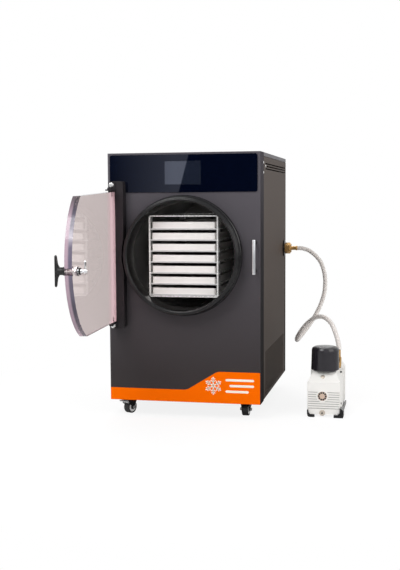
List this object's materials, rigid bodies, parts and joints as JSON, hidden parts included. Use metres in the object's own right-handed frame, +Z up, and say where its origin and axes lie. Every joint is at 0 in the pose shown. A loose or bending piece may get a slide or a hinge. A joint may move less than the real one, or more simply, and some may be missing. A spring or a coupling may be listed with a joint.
{
  "type": "freeze dryer",
  "caption": "Freeze dryer on casters: dark cabinet, round chamber with racked trays, clear door standing open, and a vacuum pump on a hose.",
  "frame": {"origin": "on the floor under the middle of the footprint, with the door standing open", "axes": "+X right, +Y from the front to the back, +Z up"},
  "size_m": [0.6931, 1.0648, 0.783],
  "materials": {
    "charcoal_paint": "satin powder coat",
    "side_paint": "satin powder coat",
    "dark_paint": "satin",
    "orange_paint": "gloss",
    "frame_paint": "matt",
    "panel_glass": "gloss",
    "screen_glass": "gloss",
    "zinc": "zinc plated",
    "chrome": "polished",
    "stainless": "satin",
    "wire_steel": "polished",
    "shelf_alu": "satin",
    "tray_steel": "satin",
    "foam": "matt",
    "copper": "drawn tube",
    "black_rubber": "satin",
    "clear_acrylic": "polished",
    "black_plastic": "satin",
    "black_enamel": "gloss",
    "fins": "mill",
    "board": "solder mask",
    "brass": "turned",
    "caster_tread": "satin",
    "pedal_grey": "satin",
    "pump_white": "gloss",
    "sight": "gloss",
    "switch_red": "gloss",
    "hose_pvc": "braided clear tube"
  },
  "bodies": {
    "cabinet": {"base_pan": "frame_paint", "chassis_frame": "frame_paint", "front_fascia": "charcoal_paint", "accent_panel": "orange_paint", "side_panel_left": "side_paint", "side_panel_right": "side_paint", "top_cover": "charcoal_paint", "rear_panel": "side_paint", "control_glass": "panel_glass", "touch_screen": "screen_glass", "cabinet_screws": "zinc", "hinge_mount": "dark_paint", "latch_keeper": "chrome", "chamber_vessel": "stainless", "chamber_insulation": "foam", "evaporator_coil": "copper", "door_gasket": "black_rubber", "rack_frame": "wire_steel", "heated_shelves": "shelf_alu", "tray_1": "tray_steel", "tray_2": "tray_steel", "tray_3": "tray_steel", "tray_4": "tray_steel", "tray_5": "tray_steel", "tray_6": "tray_steel", "tray_7": "tray_steel", "hinge_brackets": "dark_paint", "compressor": "black_enamel", "condenser": "fins", "refrigerant_lines": "copper", "control_board": "board", "vacuum_fitting": "brass", "port_grommet": "black_rubber", "power_inlet": "black_plastic", "caster_plates": "zinc", "pump_oil_case": "pump_white", "pump_motor": "pump_white", "pump_filter": "black_plastic", "pump_plugs": "zinc", "pump_sight_glass": "sight", "pump_inlet": "brass", "pump_feet": "black_rubber", "suction_hose": "hose_pvc"},
    "door": {"door_panel": "clear_acrylic", "door_bushing": "chrome"},
    "latch": {"handle_grip": "black_plastic", "latch_shaft": "chrome"},
    "fan": {"condenser_fan": "black_plastic"},
    "power_rocker": {"power_switch": "switch_red"},
    "pump_rocker": {"pump_switch": "switch_red"},
    "fork_fl": {"caster_fork_fl": "black_plastic"},
    "wheel_fl": {"caster_wheel_fl": "caster_tread"},
    "pedal_fl": {"brake_pedal_fl": "pedal_grey"},
    "fork_fr": {"caster_fork_fr": "black_plastic"},
    "wheel_fr": {"caster_wheel_fr": "caster_tread"},
    "pedal_fr": {"brake_pedal_fr": "pedal_grey"},
    "fork_rl": {"caster_fork_rl": "black_plastic"},
    "wheel_rl": {"caster_wheel_rl": "caster_tread"},
    "fork_rr": {"caster_fork_rr": "black_plastic"},
    "wheel_rr": {"caster_wheel_rr": "caster_tread"}
  },
  "joints": [
    {"name": "door_swing", "type": "hinge", "parent": "cabinet", "child": "door", "pos_m": [-0.32432, -0.1026, 0.483], "axis": [0, 0, 1], "range_deg": [-20, 86.5]},
    {"name": "latch_turn", "type": "hinge", "parent": "door", "child": "latch", "pos_m": [-0.29996, -0.50085, 0.468], "axis": [0.9981, 0.061, 0], "range_deg": [0, 90]},
    {"name": "caster_swivel_fl", "type": "hinge", "parent": "cabinet", "child": "fork_fl", "pos_m": [-0.29282, 0.0094, 0.04], "axis": [0, 0, 1], "continuous": true},
    {"name": "wheel_spin_fl", "type": "hinge", "parent": "fork_fl", "child": "wheel_fl", "pos_m": [-0.29851, -0.00338, 0.01925], "axis": [0.9135, -0.4067, 0], "continuous": true},
    {"name": "brake_press_fl", "type": "hinge", "parent": "fork_fl", "child": "pedal_fl", "pos_m": [-0.30543, -0.01892, 0.035], "axis": [0.9135, -0.4067, 0], "range_deg": [0, 12]},
    {"name": "caster_swivel_fr", "type": "hinge", "parent": "cabinet", "child": "fork_fr", "pos_m": [0.05418, 0.0094, 0.04], "axis": [0, 0, 1], "continuous": true},
    {"name": "wheel_spin_fr", "type": "hinge", "parent": "fork_fr", "child": "wheel_fr", "pos_m": [0.05467, 0.0234, 0.01925], "axis": [-0.9994, 0.0349, 0], "continuous": true},
    {"name": "brake_press_fr", "type": "hinge", "parent": "fork_fr", "child": "pedal_fr", "pos_m": [0.05527, 0.04038, 0.035], "axis": [-0.9994, 0.0349, 0], "range_deg": [0, 12]},
    {"name": "caster_swivel_rl", "type": "hinge", "parent": "cabinet", "child": "fork_rl", "pos_m": [-0.29282, 0.4744, 0.04], "axis": [0, 0, 1], "continuous": true},
    {"name": "wheel_spin_rl", "type": "hinge", "parent": "fork_rl", "child": "wheel_rl", "pos_m": [-0.29525, 0.46062, 0.01925], "axis": [0.9848, -0.1736, 0], "continuous": true},
    {"name": "caster_swivel_rr", "type": "hinge", "parent": "cabinet", "child": "fork_rr", "pos_m": [0.05418, 0.4744, 0.04], "axis": [0, 0, 1], "continuous": true},
    {"name": "wheel_spin_rr", "type": "hinge", "parent": "fork_rr", "child": "wheel_rr", "pos_m": [0.05661, 0.46062, 0.01925], "axis": [0.9848, 0.1736, 0], "continuous": true},
    {"name": "fan_spin", "type": "hinge", "parent": "cabinet", "child": "fan", "pos_m": [-0.26332, 0.2144, 0.156], "axis": [1, 0, 0], "continuous": true},
    {"name": "power_rock", "type": "hinge", "parent": "cabinet", "child": "power_rocker", "pos_m": [0.04768, 0.5264, 0.118], "axis": [1, 0, 0], "range_deg": [0, 16]},
    {"name": "pump_rock", "type": "hinge", "parent": "cabinet", "child": "pump_rocker", "pos_m": [0.28468, 0.2514, 0.138], "axis": [0, 1, 0], "range_deg": [0, 16]}
  ]
}
